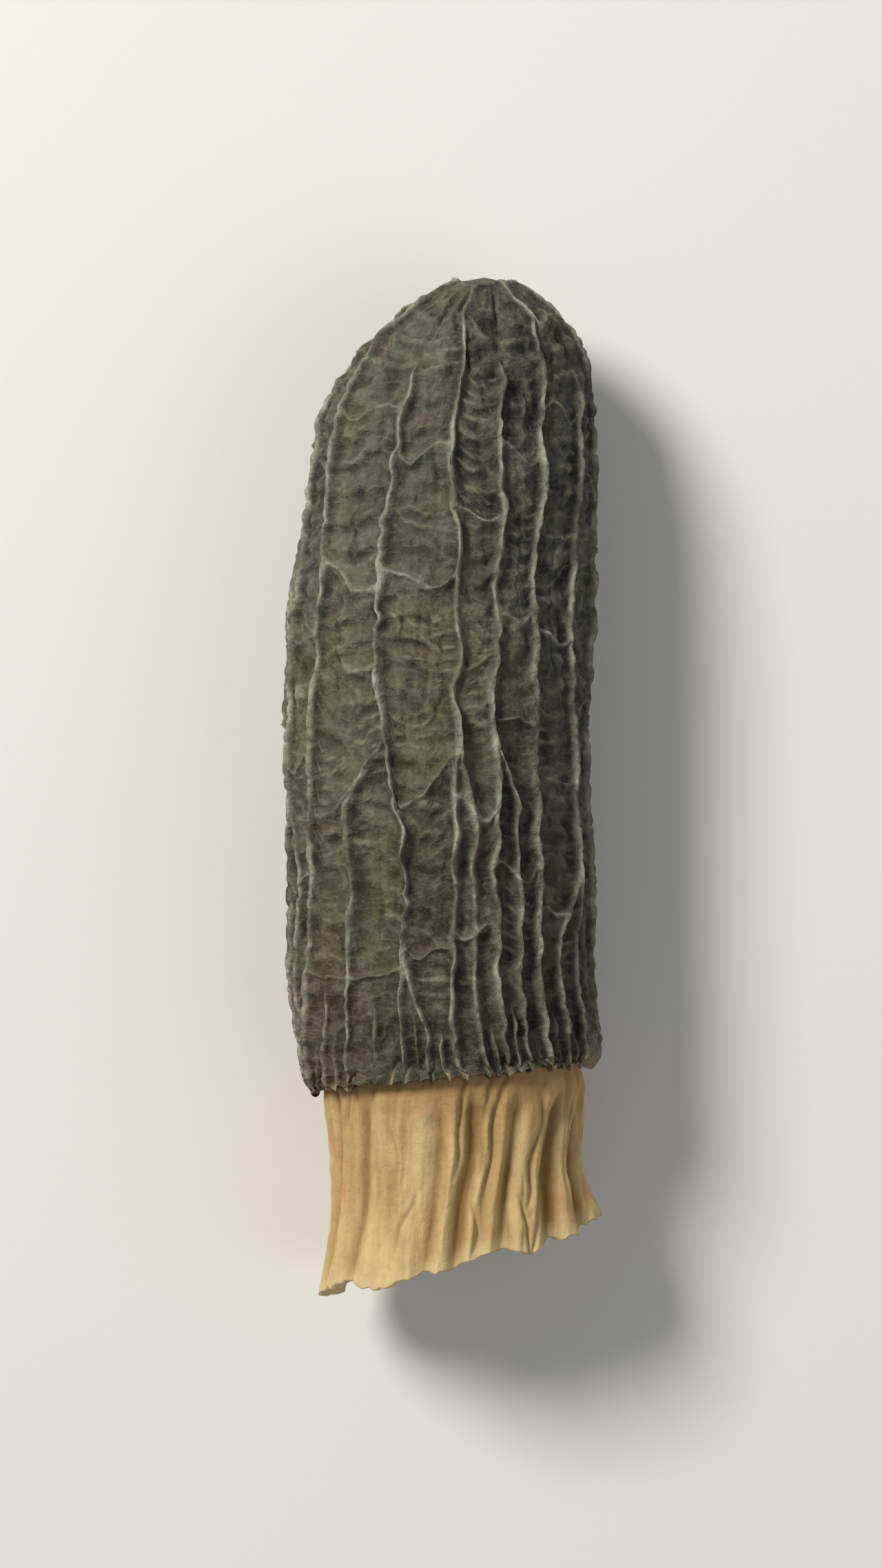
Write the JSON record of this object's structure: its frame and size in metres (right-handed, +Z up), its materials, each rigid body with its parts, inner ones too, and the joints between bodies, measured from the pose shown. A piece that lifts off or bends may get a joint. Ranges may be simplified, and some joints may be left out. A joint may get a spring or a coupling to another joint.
{
  "type": "morel mushroom",
  "caption": "Dried morel lying on its side: a hollow, elongated cap with a raised net of ridges and pits, on a short hollow stem stump with a slanting ragged cut.",
  "frame": {"origin": "on the floor, under the centre of the box round the whole mushroom", "axes": "+Z up from the floor, +Y along the mushroom from the cut end of the stem to the tip of the cap, +X to the right when seen from above with the tip away from the viewer"},
  "size_m": [0.0248, 0.0772, 0.0202],
  "materials": {
    "cap_skin": "dry and matt, dark olive brown in the pits, paler grey along the crests of the ridges",
    "stem_flesh": "dry and matt pale tan, darker in the lengthwise furrows"
  },
  "bodies": {
    "root": {"cap": "cap_skin", "stem": "stem_flesh"}
  },
  "joints": []
}
